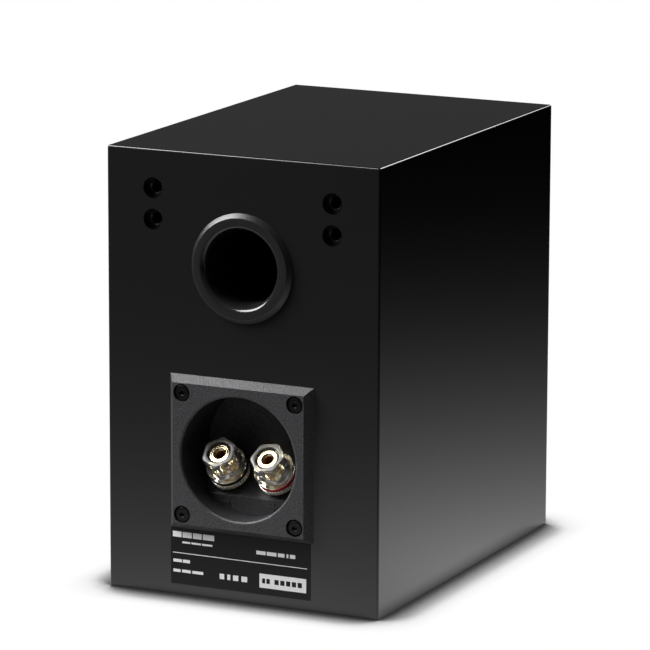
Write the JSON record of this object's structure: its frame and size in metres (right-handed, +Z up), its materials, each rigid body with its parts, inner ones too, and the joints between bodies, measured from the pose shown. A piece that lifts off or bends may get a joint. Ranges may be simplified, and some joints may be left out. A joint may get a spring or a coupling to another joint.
{
  "type": "bookshelf speaker",
  "caption": "Compact two-way bookshelf loudspeaker with a rear reflex port, recessed binding posts, wall-bracket sockets, moving drivers and an internal crossover.",
  "frame": {"origin": "middle of the cabinet footprint, on the surface it stands on", "axes": "+Z up, -Y is the front with the drivers, +Y the rear with the terminals, +X to the left as seen from behind"},
  "size_m": [0.14, 0.2071, 0.212],
  "materials": {
    "cabinet_lacquer": "satin black lacquer over fibreboard",
    "port_plastic": "fine-grained moulded ABS, glossy in the flare",
    "port_card": "black wound card tube",
    "cup_plastic": "dark grey spark-eroded ABS",
    "black_steel": "black oxide",
    "zinc_steel": "zinc plated",
    "brass_insert": "turned brass",
    "foam": "closed-cell sealing foam",
    "label_film": "matt black polyester film",
    "gold_plate": "pale gold plate over turned brass",
    "black_nylon": "black nylon",
    "red_ring": "red acetal",
    "black_ring": "black acetal",
    "clear_plastic": "clear polycarbonate",
    "basket_steel": "black powder coat on pressed steel",
    "ferrite": "ground ferrite",
    "motor_steel": "zinc-plated mild steel",
    "cone_paper": "coated paper pulp",
    "surround_rubber": "butyl rubber",
    "spider_cloth": "resin-dipped cotton",
    "former_card": "rolled aluminium foil",
    "copper_winding": "enamelled copper wire",
    "trim_plastic": "satin black ABS",
    "tag_board": "phenolic board with tinned tabs",
    "dome_silk": "coated silk",
    "circuit_board": "green solder mask",
    "capacitor_film": "yellow film wrap",
    "resistor_ceramic": "white cement",
    "wadding": "polyester wadding",
    "red_wire": "red PVC insulation",
    "black_wire": "black PVC insulation"
  },
  "bodies": {
    "cabinet": {"cabinet_wrap": "cabinet_lacquer", "front_baffle": "cabinet_lacquer", "rear_panel": "cabinet_lacquer", "bracket_inserts": "brass_insert", "port_flange": "port_plastic", "port_tube": "port_card", "terminal_cup": "cup_plastic", "cup_gasket": "foam", "cup_screws": "black_steel", "cup_tee_nuts": "zinc_steel", "rating_label": "label_film", "negative_collar": "black_nylon", "positive_collar": "black_nylon", "negative_stem": "gold_plate", "positive_stem": "gold_plate", "post_washers": "black_nylon", "post_nuts": "zinc_steel", "solder_tags": "zinc_steel", "woofer_basket": "basket_steel", "woofer_tags": "tag_board", "woofer_gasket": "foam", "woofer_screws": "black_steel", "woofer_trim": "trim_plastic", "woofer_top_plate": "motor_steel", "woofer_magnet": "ferrite", "woofer_yoke": "motor_steel", "woofer_surround": "surround_rubber", "woofer_spider": "spider_cloth", "tweeter_faceplate": "trim_plastic", "tweeter_gasket": "foam", "tweeter_screws": "black_steel", "tweeter_top_plate": "motor_steel", "tweeter_magnet": "ferrite", "tweeter_yoke": "motor_steel", "tweeter_surround": "dome_silk", "crossover_standoffs": "black_nylon", "crossover_board": "circuit_board", "crossover_screws": "zinc_steel", "crossover_choke": "copper_winding", "tweeter_capacitor": "capacitor_film", "woofer_capacitor": "capacitor_film", "crossover_resistor": "resistor_ceramic", "damping_pad_top": "wadding", "damping_pad_left": "wadding", "damping_pad_right": "wadding", "red_leads": "red_wire", "black_leads": "black_wire"},
    "woofer_diaphragm": {"woofer_cone": "cone_paper", "woofer_dust_cap": "cone_paper", "woofer_coil_former": "former_card", "woofer_winding": "copper_winding"},
    "tweeter_diaphragm": {"tweeter_dome": "dome_silk", "tweeter_coil": "copper_winding"},
    "negative_clamp": {"negative_ring": "black_ring"},
    "negative_nut": {"negative_core": "gold_plate", "negative_knob": "clear_plastic"},
    "positive_clamp": {"positive_ring": "red_ring"},
    "positive_nut": {"positive_core": "gold_plate", "positive_knob": "clear_plastic"}
  },
  "joints": [
    {"name": "woofer_travel", "type": "slide", "parent": "cabinet", "child": "woofer_diaphragm", "axis": [0, -1, 0], "range_m": [-0.004, 0.004], "stiffness_N_per_m": 1000, "deforming": ["woofer_surround", "woofer_spider"]},
    {"name": "tweeter_travel", "type": "slide", "parent": "cabinet", "child": "tweeter_diaphragm", "axis": [0, -1, 0], "range_m": [-0.0003, 0.0003], "stiffness_N_per_m": 2000, "deforming": ["tweeter_surround"]},
    {"name": "negative_clamp_lift", "type": "slide", "parent": "cabinet", "child": "negative_clamp", "axis": [0, 0.7071, 0.7071], "range_m": [0, 0.005]},
    {"name": "negative_nut_turn", "type": "hinge", "parent": "negative_clamp", "child": "negative_nut", "pos_m": [0.0125, 0.08974, 0.06173], "axis": [0, 0.7071, 0.7071], "range_deg": [0, 1800]},
    {"name": "positive_clamp_lift", "type": "slide", "parent": "cabinet", "child": "positive_clamp", "axis": [0, 0.7071, 0.7071], "range_m": [0, 0.005]},
    {"name": "positive_nut_turn", "type": "hinge", "parent": "positive_clamp", "child": "positive_nut", "pos_m": [-0.0125, 0.08974, 0.06173], "axis": [0, 0.7071, 0.7071], "range_deg": [0, 1800]}
  ],
  "couplings": [
    {"joint": "negative_clamp_lift", "follows": "negative_nut_turn", "m_per_rad": 0.00015915},
    {"joint": "positive_clamp_lift", "follows": "positive_nut_turn", "m_per_rad": 0.00015915}
  ]
}
